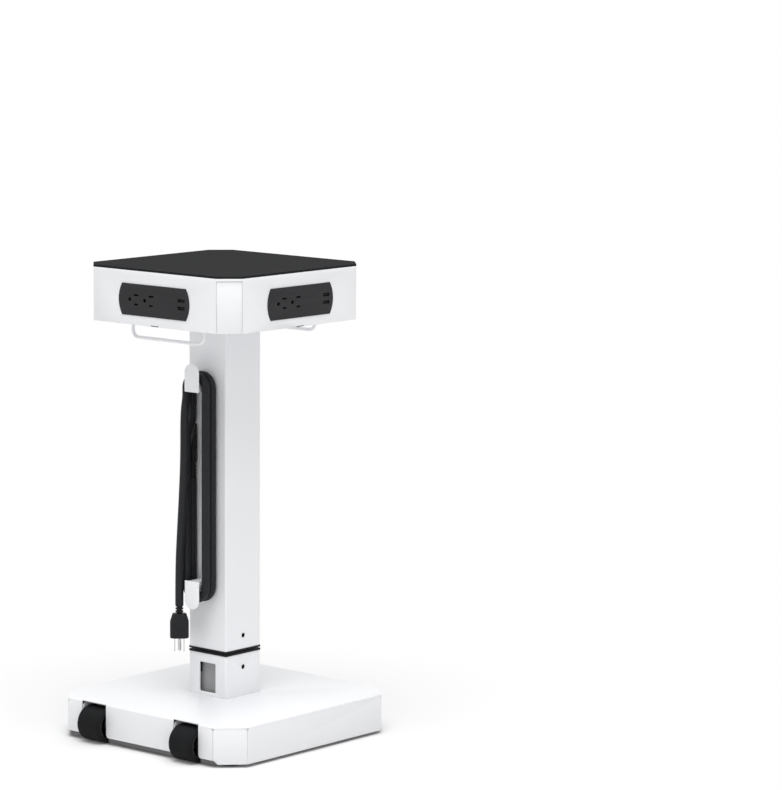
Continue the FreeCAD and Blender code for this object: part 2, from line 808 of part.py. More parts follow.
def make_hanger_bars():
    """A bent bar under the head at the front and one at the back, welded to its floor."""
    k = bar_bend * (1 - math.sqrt(0.5))
    y = -bar_plane
    edges = [
        line((-bar_leg, y, plate_low), (-bar_leg, y, bar_z + bar_bend)),
        arc((-bar_leg, y, bar_z + bar_bend), (-bar_leg + k, y, bar_z + k), (-bar_leg + bar_bend, y, bar_z)),
        line((-bar_leg + bar_bend, y, bar_z), (bar_leg - bar_bend, y, bar_z)),
        arc((bar_leg - bar_bend, y, bar_z), (bar_leg - k, y, bar_z + k), (bar_leg, y, bar_z + bar_bend)),
        line((bar_leg, y, bar_z + bar_bend), (bar_leg, y, plate_low)),
    ]
    bar = sweep(edges, bar_radius)
    for x in (-bar_leg, bar_leg):
        bar = bar.fuse(rod(bar_foot_radius, (x, y, plate_low - bar_foot), (x, y, plate_low)))
    turned = four_sides(bar.removeSplitter())
    save("hanger_bar_front", turned[0])
    save("hanger_bar_back", turned[2])


def hook_screw_heights():
    """The heights of the screws that hold the two hooks."""
    return [upper_hook_z + hook_arm_high / 2, lower_hook_z - hook_arm_high / 2]


def make_hook(name, z, up):
    """A cord hook: a round-topped end plate on an arm. up is 1 for the upper one, -1 for the lower."""
    plate_front = column_face - hook_out - hook_plate / 2
    plate_back = plate_front + hook_plate
    half = hook_plate_wide / 2
    straight = hook_plate_high - half
    outline = [
        line((-half, plate_front, 0), (half, plate_front, 0)),
        line((half, plate_front, 0), (half, plate_front, straight)),
        arc((half, plate_front, straight), (0, plate_front, hook_plate_high), (-half, plate_front, straight)),
        line((-half, plate_front, straight), (-half, plate_front, 0)),
    ]
    plate = Part.Face(Part.Wire(outline)).extrude(V(0, hook_plate, 0))
    rise = hook_arm_high - hook_arm_radius
    saddle = [
        line((-hook_arm_radius, plate_back, 0), (hook_arm_radius, plate_back, 0)),
        line((hook_arm_radius, plate_back, 0), (hook_arm_radius, plate_back, rise)),
        arc((hook_arm_radius, plate_back, rise), (0, plate_back, hook_arm_high), (-hook_arm_radius, plate_back, rise)),
        line((-hook_arm_radius, plate_back, rise), (-hook_arm_radius, plate_back, 0)),
    ]
    arm = Part.Face(Part.Wire(saddle)).extrude(V(0, column_face - plate_back, 0))
    hook = plate.fuse(arm).removeSplitter()
    if up < 0:
        hook.rotate(V(0, 0, 0), V(0, 1, 0), 180)
    hook.translate(V(0, 0, z))
    holes = []
    for height in hook_screw_heights():
        holes.append(rod(
            small_screw_radius + screw_gap,
            (0, column_face - hook_screw_reach - 1, height), (0, column_face + 1, height),
        ))
    save(name, hook.cut(holes))


def make_hook_screws():
    """Screws from inside the column into the hooks' arms."""
    screws = []
    for z in hook_screw_heights():
        head = rod(small_head_radius, (0, -outer_inner, z), (0, -outer_inner + small_head, z))
        shank = rod(small_screw_radius, (0, column_face - hook_screw_reach, z), (0, -outer_inner, z))
        screws.append(head.fuse(shank).removeSplitter())
    save("hook_screws", Part.makeCompound(screws))


def half_turn(y, z, up, forward):
    """Half a turn of the hank over an arm. forward is 1 from left to right."""
    left = (hank_left, y, z)
    right = (hank_right, y, z)
    top = (hank_middle, y, z + up * hank_radius)
    return arc(left, top, right) if forward > 0 else arc(right, top, left)


def side_step(a, b):
    """Two equal arcs that carry a strand running down from a to b, sideways by a little."""
    across = V(b[0] - a[0], b[1] - a[1], 0)
    drop = a[2] - b[2]
    half_angle = math.atan2(across.Length, drop)
    radius = drop / 2 / math.sin(2 * half_angle)
    unit = across * (1 / across.Length)
    middle = (V(*a) + V(*b)) * 0.5
    out = radius * (1 - math.cos(half_angle))
    down = radius * math.sin(half_angle)
    first = V(*a) + unit * out - V(0, 0, down)
    second = V(*b) - unit * out + V(0, 0, down)
    print("side step radius", round(radius, 1))
    return [arc(a, first, middle), arc(middle, second, b)]


def make_cord_coil():
    """The cord wound on the hooks: one unbroken tube from the cable entry to the hanging end."""
    tail_top = (hank_left, lane_b, tail_shift_high)
    tail_low = (tail_x, tail_y, tail_shift_low)
    edges = [line((hank_left, lane_a, cord_out), (hank_left, lane_a, arc_low))]
    edges.append(half_turn(lane_a, arc_low, -1, 1))
    edges.append(line((hank_right, lane_a, arc_low), (hank_right, lane_a, arc_high)))
    edges.append(half_turn(lane_a, arc_high, 1, -1))
    edges.append(line((hank_left, lane_a, arc_high), (hank_left, lane_a, inner_shift_high)))
    edges += side_step((hank_left, lane_a, inner_shift_high), (hank_left, lane_b, inner_shift_low))
    edges.append(line((hank_left, lane_b, inner_shift_low), (hank_left, lane_b, arc_low)))
    edges.append(half_turn(lane_b, arc_low, -1, 1))
    edges.append(line((hank_right, lane_b, arc_low), (hank_right, lane_b, arc_high)))
    edges.append(half_turn(lane_b, arc_high, 1, -1))
    edges.append(line((hank_left, lane_b, arc_high), tail_top))
    edges += side_step(tail_top, tail_low)
    edges.append(line(tail_low, (tail_x, tail_y, tail_start)))
    coil = sweep(edges, cord_radius)
    length = sum(e.Length for e in edges)
    expected = math.pi * cord_radius ** 2 * length
    print("coil length", round(length, 1), "volume share", round(coil.Volume / expected, 4))
    print("coil least gap", round(least_gap(edges), 2), "tightest", round(hank_radius, 2))
    save("cord_coil", coil)
    return length


def least_gap(edges):
    """The least distance between the tube's own turns, measured on points 3 mm apart."""
    points = []
    run = 0.0
    for edge in edges:
        count = max(2, int(edge.Length / 3))
        found = edge.discretize(count + 1)
        for i, point in enumerate(found[:-1]):
            points.append((run + edge.Length * i / count, point))
        run += edge.Length
    least = 1e9
    apart = math.pi * hank_radius
    for i, (run_a, a) in enumerate(points):
        for run_b, b in points[i + 1:]:
            if run_b - run_a > apart:
                least = min(least, a.distanceToPoint(b))
    return least - 2 * cord_radius


def cord_route():
    """The hanging end's route, from the hank to the plug."""
    return [
        (tail_x, tail_y, tail_start),
        (tail_x, tail_y, 392.0),
        (-16.4, -66.3, 342.0),
        (-20.0, -66.5, 290.0),
        (plug_x, plug_y, 238.0),
        (plug_x, plug_y, relief_high),
    ]


def make_cord_tail():
    """The hanging end of the cord: straight runs joined by arcs as large as the runs allow."""
    points = [V(*p) for p in cord_route()]
    edges = []
    start = points[0]
    for before, here, after in zip(points, points[1:], points[2:]):
        back = before - here
        on = after - here
        half_turn_angle = (math.pi - back.getAngle(on)) / 2
        reach = 0.45 * min(back.Length, on.Length)
        radius = reach / math.tan(half_turn_angle)
        print("cord radius", round(radius, 1))
        enter = here + back.normalize() * reach
        leave = here + on.normalize() * reach
        bisector = (enter - here) + (leave - here)
        bisector.normalize()
        middle = here + bisector * (radius / math.cos(half_turn_angle) - radius)
        edges.append(Part.LineSegment(start, enter).toShape())
        edges.append(Part.Arc(enter, middle, leave).toShape())
        start = leave
    edges.append(Part.LineSegment(start, points[-1]).toShape())
    tail = sweep(edges, cord_radius)
    length = sum(e.Length for e in edges)
    expected = math.pi * cord_radius ** 2 * length
    print("tail length", round(length, 1), "volume share", round(tail.Volume / expected, 4))
    save("cord_tail", tail)
    return length


def ribbed(rib, groove, low, high):
    """An upright bar with square ribs, one in every pitch."""
    profile = [(0, high)]
    count = max(1, round((high - low) / rib_pitch))
    step = (high - low) / (2 * count)
    for i in range(count):
        top = high - 2 * i * step
        profile += [(rib, top), (rib, top - step), (groove, top - step), (groove, top - 2 * step)]
    profile.append((0, low))
    face = Part.Face(Part.makePolygon([V(r, 0, z) for r, z in profile + profile[:1]]))
    return face.revolve(V(0, 0, 0), V(0, 0, 1), 360)


def make_cable_entry():
    """The hood where the cord leaves the column, and the ribbed sleeve that points down from it."""
    nose = lane_a - cord_radius
    outline = [
        (column_face, entry_low), (column_face, entry_high), (column_face - 1, entry_high),
        (nose, entry_nose), (nose, entry_low),
    ]
    hood = prism([(hank_left - entry_half, y, z) for y, z in outline], (2 * entry_half, 0, 0))
    hood = hood.makeFillet(entry_round, [e for e in hood.Edges if on_front(e)])
    stem_top = entry_low + entry_stem
    bore = rod(entry_stem_radius + seat_gap, (hank_left, lane_a, entry_low - 1), (hank_left, lane_a, stem_top))
    save("cable_hood", hood.cut(bore))
    sleeve = ribbed(cord_radius, entry_groove, cord_out, entry_low)
    sleeve.translate(V(hank_left, lane_a, 0))
    stem = rod(entry_stem_radius, (hank_left, lane_a, entry_low), (hank_left, lane_a, stem_top))
    save("cable_entry", sleeve.fuse(stem).removeSplitter())


def on_front(edge):
    """True for the long outer edges of the hood, which are rounded."""
    middle = edge.valueAt((edge.FirstParameter + edge.LastParameter) / 2)
    along = edge.tangentAt(edge.FirstParameter)
    return abs(along.x) < 0.1 and middle.y < column_face - 2 and middle.z > entry_low + 0.5


def make_plug():
    """The plug on the hanging end, with its ribbed strain relief, two blades and a ground pin."""
    relief = ribbed(relief_rib, relief_groove, plug_high, relief_high)

    def ring(wide, deep, corner, z):
        bar = block(-wide / 2, wide / 2, -deep / 2, deep / 2, 0, 1)
        edges = [e for e in bar.Edges if abs(e.tangentAt(e.FirstParameter).z) > 0.9]
        bar = bar.makeFillet(corner, edges)
        outline = [f for f in bar.Faces if abs(f.CenterOfMass.z) < 1e-6][0].OuterWire
        outline.translate(V(0, 0, z))
        return outline

    share = plug_neck / plug_wide
    corner = plug_deep * 0.36
    upper = Part.makeLoft([
        ring(plug_wide, plug_deep, corner, plug_shoulder),
        ring(plug_neck, plug_deep * share, corner * share, plug_high),
    ], True, True)
    lower = Part.makeLoft([
        ring(plug_wide, plug_deep, corner, plug_low),
        ring(plug_wide, plug_deep, corner, plug_shoulder),
    ], True, True)
    body = lower.fuse(upper).removeSplitter()
    blades = []
    front = -plug_deep / 4
    for sign in (-1, 1):
        x = sign * blade_apart / 2
        blade = block(
            x - blade_thick / 2, x + blade_thick / 2, front - blade_wide / 2, front + blade_wide / 2,
            plug_low - blade_long, plug_low,
        )
        blades.append(blade)
    pin_y = front + pin_back
    pin = rod(pin_radius, (0, pin_y, plug_low - pin_long), (0, pin_y, plug_low))
    blades.append(pin.makeFillet(pin_radius * 0.8, edges_at(pin, plug_low - pin_long)))
    for name, shape in (
        ("plug_relief", relief), ("plug_body", body), ("plug_blades", Part.makeCompound(blades)),
    ):
        shape.rotate(V(0, 0, 0), V(0, 0, 1), plug_turn)
        shape.translate(V(plug_x, plug_y, 0))
        save(name, shape)


make_base_cover()
make_ballast()
make_glides()
make_cover_posts()
bracket_screws = make_wheel_side("left", -wheel_spread) + make_wheel_side("right", wheel_spread)
save("bracket_screws", Part.makeCompound(bracket_screws))
make_inner_column()
make_collar()
make_outer_column()
make_top_guide()
make_modules()
make_head()
make_hanger_bars()
make_hook("cord_hook_upper", upper_hook_z, 1)
make_hook("cord_hook_lower", lower_hook_z, -1)
make_hook_screws()
make_cable_entry()
cord_length = make_cord_coil() + make_cord_tail()
make_plug()
print("cord length", round(cord_length, 1), "nodes", len(made))
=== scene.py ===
"""Looks of a height-adjustable charging tower, laid out as a Blender add-on.

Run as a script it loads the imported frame, winds the cord, softens the edges of the sheet-metal
and moulded pieces, adds the fine detail that the solids leave out, gives every piece its finish
and sets up the stage. Lengths are in metres. The column's axis stands at AXIS, and -Y is the side
with the wheels and the cord.
"""

import json
import math

import bpy
from mathutils import Euler, Matrix, Vector

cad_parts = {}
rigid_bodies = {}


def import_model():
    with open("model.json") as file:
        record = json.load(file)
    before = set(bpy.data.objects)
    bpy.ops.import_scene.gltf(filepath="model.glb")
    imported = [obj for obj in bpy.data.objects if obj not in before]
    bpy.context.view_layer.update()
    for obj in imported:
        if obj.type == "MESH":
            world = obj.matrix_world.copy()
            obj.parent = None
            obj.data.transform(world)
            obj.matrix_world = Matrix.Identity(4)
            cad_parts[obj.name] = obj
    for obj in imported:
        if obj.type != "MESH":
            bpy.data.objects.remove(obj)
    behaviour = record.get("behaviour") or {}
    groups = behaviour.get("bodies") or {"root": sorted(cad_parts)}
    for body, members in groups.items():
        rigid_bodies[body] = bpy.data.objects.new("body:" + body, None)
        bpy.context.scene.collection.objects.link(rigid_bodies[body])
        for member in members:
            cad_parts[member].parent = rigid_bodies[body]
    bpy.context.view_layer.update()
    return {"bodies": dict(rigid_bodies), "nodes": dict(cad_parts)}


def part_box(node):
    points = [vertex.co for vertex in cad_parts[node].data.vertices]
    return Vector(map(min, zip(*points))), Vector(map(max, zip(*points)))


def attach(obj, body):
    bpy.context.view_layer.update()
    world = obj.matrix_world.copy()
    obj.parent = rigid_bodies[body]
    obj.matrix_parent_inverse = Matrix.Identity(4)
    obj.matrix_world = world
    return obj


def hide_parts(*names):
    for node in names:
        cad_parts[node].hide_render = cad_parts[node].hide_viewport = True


bl_info = {
    "name": "Charging Tower Looks",
    "version": (1, 0, 0),
    "blender": (4, 5, 0),
    "location": "3D View > Sidebar > Tower",
    "description": "Finishes and fine detail for a height-adjustable charging tower",
    "category": "Object",
}

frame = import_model()

AXIS = Vector((0.0, 0.007, 0.0))
SIDES = ("front", "right", "back", "left")
QUARTER_TURN = math.pi / 2

# One turn of the cord in X and Z: round the lower hook, up, and over the upper one.
HOOK_TURN = (
    (-0.0214, 0.2201), (-0.0214, 0.2083), (-0.0145, 0.1987), (-0.0032, 0.1951),
    (0.0081, 0.1987), (0.0150, 0.2083), (0.0150, 0.2201),
    (0.0150, 0.4814), (0.0150, 0.4932), (0.0081, 0.5028), (-0.0032, 0.5064),
    (-0.0145, 0.5028), (-0.0214, 0.4932), (-0.0214, 0.4814),
)

# The cord's route: out of the cable entry, twice round both hooks, and down to the plug.
CORD_ROUTE = (
    (-0.0214, -0.0350, 0.3610),
    # the lane next to the column
    *((x, -0.0350, z) for x, z in HOOK_TURN),
    # across to the middle lane
    (-0.0214, -0.0350, 0.4520), (-0.0214, -0.0350, 0.4400),
    (-0.0214, -0.0470, 0.4230), (-0.0214, -0.0470, 0.4000),
    *((x, -0.0470, z) for x, z in HOOK_TURN),
    # over the middle lane and down to the plug
    (-0.0214, -0.0470, 0.4740), (-0.0139, -0.0590, 0.4540), (-0.0139, -0.0590, 0.3920),
    (-0.0164, -0.0593, 0.3420), (-0.0200, -0.0595, 0.2900), (-0.0240, -0.0590, 0.2380),
    (-0.0240, -0.0590, 0.1860),
)

# How finely the cord is drawn, along its route and round its section.
CORD_STEPS = 8
CORD_ROUND_STEPS = 6

# The open seams beside the first cut corner of the base: X and Y from the column's axis, and the
# way they face, in degrees.
SEAM_PLACES = {"a": (0.137, -0.170, -67.5), "b": (0.170, -0.137, -22.5)}
SEAM_WIDTH = 0.00078
SHEET_THICKNESS = 0.0016

# The heights at which a seam's liner ends: above, below, and below on the side with the wheels,
# which are the seams past WHEEL_SIDE in Y.
SEAM_HEAD = 0.0504
SEAM_FOOT = 0.0047
SEAM_FOOT_WHEELS = 0.0102
WHEEL_SIDE = -0.169

# The round hole at the head of each seam: its backing's radius and sides, the height, and how deep
# the backing lies.
RELIEF_RADIUS = 0.0024
RELIEF_SIDES = 32
RELIEF_HEIGHT = 0.0522
RELIEF_DEPTH = 0.0026

# The contacts on a port's tongue: how many, size and pitch. CONTACT_START is the first one's place
# from the ports' middle on the faceplate's front.
CONTACT_COUNT = 4
CONTACT_SIZE = (0.001, 0.008, 0.0001)
CONTACT_PITCH = (0.00233, 0.0, 0.0)
CONTACT_START = Vector((-0.0035, 0.0066, -0.00095))

# The dark block in the notch of each lower edge of the head: painted shade that darkens the notch.
NOTCH_SHADE_SIZE = (0.0146, 0.0010, 0.0011)
NOTCH_SHADE_EDGE = 0.0002

# What counts as one point, as one flat face and as a sharp edge on a copy of a frame node.
MERGE_DISTANCE = 0.000002
FLAT_ANGLE = math.radians(0.4)
SHARP_ANGLE = math.radians(35.0)

# The camera of the product view, with its lens and sensor in millimetres and its turn in radians.
CAMERA_LENS = 169.168
CAMERA_SENSOR = 36.0
CAMERA_CLIP = (0.1, 60.0)
CAMERA_PLACE = (3.46624656, -3.69688518, 1.18179065)
CAMERA_TURN = (1.4322605346, -0.0062595132, 0.7079739345)

# The floor: its size, how far from the middle it starts to fade to white, how much it fades per
# metre, and the little light that lifts it to the camera near the tower.
FLOOR_SIZE = 40.0
FADE_START = 0.22
FADE_PER_METRE = 2.6
FLOOR_GLOW = 0.05

# The soft lights: the setting that holds the power, the size, the place and where it aims.
LIGHTS = {
    "overhead_light": ("key_power", 2.2, (0.6, -0.72, 3.0), (0.0, 0.0, 0.3)),
    "right_light": ("right_power", 2.4, (3.2, -0.6, 1.9), (0.0, 0.0, 0.35)),
    "left_light": ("left_power", 2.4, (-1.0, -3.3, 1.3), (0.0, 0.0, 0.35)),
}

WHITE = (1.0, 1.0, 1.0, 1.0)
BOX_GREY = (0.55, 0.55, 0.54)

# How fast floor dust thins out with height, and how crisp the upper edge of the painted shade on
# the inner column's lower end is, per metre.
DUST_FADE = 22.0
COLLAR_SHADE_EDGE = 800.0

# Which finish each node of the frame wears.
WORN = {
    "white_paint": (
        "base_cover", "collar", "outer_column", "head_shell", "corner_panels", "hanger_bar_front",
        "hanger_bar_back", "cord_hook_upper", "cord_hook_lower", "wheel_bracket_left",
        "wheel_bracket_right", "head_floor",
    ),
    "column_paint": ("inner_column",),
    "top_laminate": ("top_plate",),
    "module_black": tuple(f"faceplate_{side}" for side in SIDES),
    "outlet_black": tuple(f"outlet_body_{side}" for side in SIDES) + ("usb_tongues",),
    "guide_nylon": ("collar_bushing", "column_bushing", "top_guide", "stop_plate"),
    "cord_jacket": ("cord_coil", "cord_tail"),
    "plug_black": ("cable_entry", "cable_hood", "plug_relief", "plug_body"),
    "plated_steel": ("plug_blades",),
    "shell_steel": ("usb_shells",),
    "bolt_steel": (
        "axle_left", "axle_right", "bracket_screws", "cover_screws", "flange_bolts", "hook_screws",
        "mount_bolts",
    ),
    "black_oxide": ("collar_insert", "collar_set_screw", "column_insert", "column_set_screw"),
    "zinc_steel": ("cover_posts", "mount_plate"),
    "tyre_rubber": ("tyre_left", "tyre_right"),
    "hub_plastic": ("hub_left", "hub_right"),
    "ballast_paint": ("ballast_plate", "column_flange"),
    "glide_rubber": ("glides",),
    "box_plastic": ("junction_box", "junction_box_lid"),
}


class TowerSettings(bpy.types.PropertyGroup):
    """Sizes, colours and light of the tower."""

    sheet_edge: bpy.props.FloatProperty(
        name="Sheet edge", description="Rounding on the painted sheet's edges", default=0.0004,
        min=0.0, max=0.002, unit="LENGTH", precision=4,
    )
    moulded_edge: bpy.props.FloatProperty(
        name="Moulded edge", description="Rounding on moulded plastic edges", default=0.0008,
        min=0.0, max=0.003, unit="LENGTH", precision=4,
    )
    cord_diameter: bpy.props.FloatProperty(
        name="Cord diameter", description="Outside diameter of the power cord", default=0.0115,
        min=0.004, max=0.0115, unit="LENGTH", precision=4,
    )
    port_place: bpy.props.FloatProperty(
        name="Port place", description="Middle of the charging ports from a faceplate's middle",
        default=0.0515, unit="LENGTH", precision=4,
    )
    port_rise: bpy.props.FloatProperty(
        name="Port rise", description="Middle of each port above or below a faceplate's middle",
        default=0.0051, unit="LENGTH", precision=4,
    )
    hood_corner: bpy.props.FloatProperty(
        name="Hood corners", description="What is cut off the cord hood's corners at the column",
        default=0.0052, min=0.0, max=0.006, unit="LENGTH", precision=4,
    )
    seam_groove: bpy.props.FloatProperty(
        name="Seam depth", description="How far the corner seams of the base are open",
        default=0.0011, min=0.0001, max=0.0015, unit="LENGTH", precision=4,
    )
    notch_place: bpy.props.FloatVectorProperty(
        name="Notch", description="Middle of the notch in the head's lower front edge",
        subtype="TRANSLATION", default=(0.0005, -0.1314, 0.5809), unit="LENGTH", precision=4,
    )
    # Height up to which the inner column is painted grey: painted shade for the inside of the
    # collar.
    collar_shade_height: bpy.props.FloatProperty(
        name="Bare end", description="Height up to which the inner column is left in primer",
        default=0.106, unit="LENGTH",
    )
    cord_length: bpy.props.FloatProperty(
        name="Cord length", description="Real length of the power cord", default=1.502,
        unit="LENGTH",
    )
    paint_colour: bpy.props.FloatVectorProperty(
        name="Paint", description="Powder paint of base, column and head", subtype="COLOR",
        default=(0.834, 0.840, 0.858), min=0.0, max=1.0,
    )
    top_colour: bpy.props.FloatVectorProperty(
        name="Top", description="Laminate of the top plate", subtype="COLOR",
        default=(0.0195, 0.0198, 0.0207), min=0.0, max=1.0,
    )
    module_colour: bpy.props.FloatVectorProperty(
        name="Faceplate", description="Satin plastic of the faceplates", subtype="COLOR",
        default=(0.032, 0.032, 0.034), min=0.0, max=1.0,
    )
    nylon_colour: bpy.props.FloatVectorProperty(
        name="Nylon", description="Guides and their flanges", subtype="COLOR",
        default=(0.014, 0.014, 0.015), min=0.0, max=1.0,
    )
    cord_colour: bpy.props.FloatVectorProperty(
        name="Cord", description="Jacket of the power cord", subtype="COLOR",
        default=(0.0198, 0.0207, 0.0230), min=0.0, max=1.0,
    )
    plug_colour: bpy.props.FloatVectorProperty(
        name="Plug", description="Plug, hood and sleeve of the power cord", subtype="COLOR",
        default=(0.0118, 0.0123, 0.0138), min=0.0, max=1.0,
    )
    rubber_colour: bpy.props.FloatVectorProperty(
        name="Rubber", description="Rubber of the tyres", subtype="COLOR",
        default=(0.0100, 0.0104, 0.0112), min=0.0, max=1.0,
    )
    glide_colour: bpy.props.FloatVectorProperty(
        name="Glides", description="Rubber of the glides under the base", subtype="COLOR",
        default=(0.055, 0.055, 0.056), min=0.0, max=1.0,
    )
    ballast_colour: bpy.props.FloatVectorProperty(
        name="Ballast", description="Paint of the ballast plate", subtype="COLOR",
        default=(0.13, 0.13, 0.135), min=0.0, max=1.0,
    )
    # The grey painted on the inner column's lower end: painted shade for the inside of the collar,
    # seen through its window.
    collar_shade_colour: bpy.props.FloatVectorProperty(
        name="Primer", description="Grey primer on the inner column's lower end", subtype="COLOR",
        default=(0.29, 0.29, 0.295), min=0.0, max=1.0,
    )
    ambient: bpy.props.FloatProperty(
        name="Ambient light", description="Strength of the surroundings as light", default=0.69,
        min=0.0,
    )
    key_power: bpy.props.FloatProperty(
        name="Overhead light", description="Power of the soft light over the tower", default=63.0,
        min=0.0, unit="POWER",
    )
    right_power: bpy.props.FloatProperty(
        name="Right light", description="Power of the soft light on the set-screw side",
        default=6.2, min=0.0, unit="POWER",
    )
    left_power: bpy.props.FloatProperty(
        name="Left light", description="Power of the soft light on the wheel side", default=1.8,
        min=0.0, unit="POWER",
    )


class Reading:
    """A shader value that takes part in ordinary arithmetic."""

    def __init__(self, graph, socket):
        self.graph = graph
        self.socket = socket

    def _reckon(self, operation, first, second, clamp=False):
        return self.graph.node(
            "ShaderNodeMath", {"operation": operation, "use_clamp": clamp}, {0: first, 1: second}
        )

    def __add__(self, other):
        return self._reckon("ADD", self, other)

    __radd__ = __add__

    def __sub__(self, other):
        return self._reckon("SUBTRACT", self, other)

    def __rsub__(self, other):
        return self._reckon("SUBTRACT", other, self)

    def __mul__(self, other):
        return self._reckon("MULTIPLY", self, other)

    __rmul__ = __mul__

    def clamped(self):
        """The same value, held between 0 and 1."""
        return self._reckon("ADD", self, 0.0, clamp=True)


class Graph:
    """A node tree in the making, with what it shows at its end."""

    def __init__(self, tree, output_kind):
        self.nodes = tree.nodes
        self.links = tree.links
        self.nodes.clear()
        self.output = self.nodes.new(output_kind)

    @staticmethod
    def _find(sockets, key):
        """A socket by its number, its name or its identifier."""
        if isinstance(key, int):
            return sockets[key]
        return next(s for s in sockets if s.enabled and key in (s.name, s.identifier))

    def _feed(self, socket, value):
        """Links a reading to a socket, or sets a plain value on it."""
        if isinstance(value, Reading):
            self.links.new(value.socket, socket)
        else:
            socket.default_value = value

    def node(self, kind, settings=None, inputs=None, output=0):
        """Adds a node with its settings and its sockets' values or links, and returns an output."""
        made = self.nodes.new(kind)
        for key, value in (settings or {}).items():
            setattr(made, key, value)
        for key, value in (inputs or {}).items():
            self._feed(self._find(made.inputs, key), value)
        return Reading(self, self._find(made.outputs, output))

    def show(self, surface):
        """Makes a shader the one that is seen."""
        self.links.new(surface.socket, self.output.inputs["Surface"])

    def looked_at(self):
        """1 for what is looked at, mirrored or seen through glass, and 0 for what only lights."""
        camera, glossy, glass = (
            self.node("ShaderNodeLightPath", output=f"Is {ray} Ray")
            for ray in ("Camera", "Glossy", "Transmission")
        )
        return (camera + glossy + glass).clamped()


class Finish(Graph):
    """One material in the making: its shader and what varies over it."""

    def __init__(self, name, **constants):
        material = bpy.data.materials.new(name)
        material.use_nodes = True
        super().__init__(material.node_tree, "ShaderNodeOutputMaterial")
        self.shader = self.nodes.new("ShaderNodeBsdfPrincipled")
        self.surface = Reading(self, self.shader.outputs[0])
        self.show(self.surface)
        self.wear(**constants)

    def place(self, stretch=None):
        """The object's own coordinates, stretched along its axes where a stretch is given."""
        own = self.node("ShaderNodeTexCoord", output="Object")
        if stretch is None:
            return own
        return self.node("ShaderNodeMapping", None, {"Vector": own, "Scale": stretch}, "Vector")

    def height(self):
        """How far above the floor a point lies, in metres."""
        return self.node("ShaderNodeSeparateXYZ", None, {"Vector": self.place()}, "Z")

    def noise(self, scale, detail=3.0, stretch=None):
        """Soft noise between 0 and 1, with so many spots to the metre."""
        return self.node(
            "ShaderNodeTexNoise", None,
            {"Vector": self.place(stretch), "Scale": scale, "Detail": detail},
        )

    def grains(self, scale, output=0):
        """Cells packed side by side, with so many to the metre."""
        return self.node(
            "ShaderNodeTexVoronoi", None, {"Vector": self.place(), "Scale": scale}, output
        )

    def blend(self, share, first, second):
        """A colour between two others."""
        return self.node(
            "ShaderNodeMix", {"data_type": "RGBA", "clamp_factor": True},
            {"Factor_Float": share, "A_Color": first, "B_Color": second}, "Result_Color",
        )

    def shades(self, share, colour, darkest, lightest):
        """A colour that drifts between a darker and a lighter share of itself."""
        return self.blend(share, rgba(colour, darkest), rgba(colour, lightest))

    def bump(self, height, strength, distance):
        """Relief from a height, at a strength between 0 and 1."""
        return self.node(
            "ShaderNodeBump", None, {"Height": height, "Strength": strength, "Distance": distance}
        )

    def wear(self, **surface):
        """Puts values or readings on the shader's sockets, by their names."""
        for key, value in surface.items():
            socket = key.replace("_", " ").title().replace("Ior", "IOR")
            self._feed(self.shader.inputs[socket], value)


def rgba(colour, share=1.0):
    """A colour with its alpha, darkened or lightened by a share."""
    return tuple(min(1.0, c * share) for c in colour) + (1.0,)


def white_paint(s, name, shaded_below=0.0):
    """Satin powder paint: faint orange peel, drifting tone and gloss, and below a given height a
    grey that paints the shade inside the collar.
    """
    f = Finish(name, specular_ior_level=0.45)
    drift = f.noise(5.0)
    peel = f.noise(750.0, 2.0)
    speck = f.noise(2600.0, 1.0)
    dust = (1.0 - f.height() * DUST_FADE).clamped() * f.noise(26.0, 4.0)
    clean = f.shades(drift, s.paint_colour, 0.985, 1.012)
    colour = f.blend(dust * 0.16, clean, rgba(s.paint_colour, 0.8))
    # painted shade: the inner column's end inside the collar is painted grey, as the collar's
    # hollow would shade it
    if shaded_below > 0.0:
        collar_shade = ((shaded_below - f.height()) * COLLAR_SHADE_EDGE).clamped()
        colour = f.blend(collar_shade, colour, rgba(s.collar_shade_colour))
    f.wear(
        base_color=colour, roughness=drift * 0.07 + speck * 0.05 + 0.36,
        normal=f.bump(peel + speck * 0.3, strength=0.1, distance=0.00025),
    )


def top_laminate(s):
    """Dark laminate: a fine fleck under a matt, slightly pebbled skin."""
    f = Finish("top_laminate", specular_ior_level=0.01)
    fleck = f.noise(900.0, 4.0)
    cloud = f.noise(14.0)
    fine = f.shades(fleck, s.top_colour, 0.82, 1.2)
    pebble = f.grains(1300.0)
    f.wear(
        base_color=f.blend(cloud * 0.25, fine, rgba(s.top_colour, 1.35)),
        roughness=cloud * 0.08 + 0.68,
        normal=f.bump(pebble + fleck * 0.5, strength=0.08, distance=0.0002),
    )


def moulded(name, colour, roughness, level, texture=0.08):
    """Spark-textured plastic: a fine even grain, and gloss that drifts a little."""
    f = Finish(name, specular_ior_level=level)
    spark = f.noise(2400.0)
    cloud = f.noise(30.0)
    f.wear(
        base_color=f.shades(cloud * 0.5 + spark * 0.2, colour, 0.88, 1.15),
        roughness=cloud * 0.07 + (roughness - 0.03),
        normal=f.bump(spark, strength=texture, distance=0.0001),
    )


def cord_jacket(s):
    """Extruded jacket: faint marks along its run and a soft sheen."""
    f = Finish("cord_jacket", specular_ior_level=0.14)
    haze = f.noise(60.0)
    fine = f.noise(1400.0, stretch=(1.0, 1.0, 0.15))
    f.wear(
        base_color=f.shades(haze, s.cord_colour, 0.85, 1.2), roughness=haze * 0.1 + 0.42,
        normal=f.bump(fine, strength=0.08, distance=0.0001),
    )


def rubber(name, colour, roughness):
    """Moulded rubber: dull, with a powdery bloom in places."""
    f = Finish(name, specular_ior_level=0.08)
    bloom = f.noise(45.0, 5.0)
    grain = f.noise(1700.0)
    f.wear(
        base_color=f.shades((bloom * 1.4 - 0.35).clamped(), colour, 0.85, 1.35),
        roughness=bloom * 0.12 + roughness,
        normal=f.bump(grain + bloom, strength=0.16, distance=0.0002),
    )


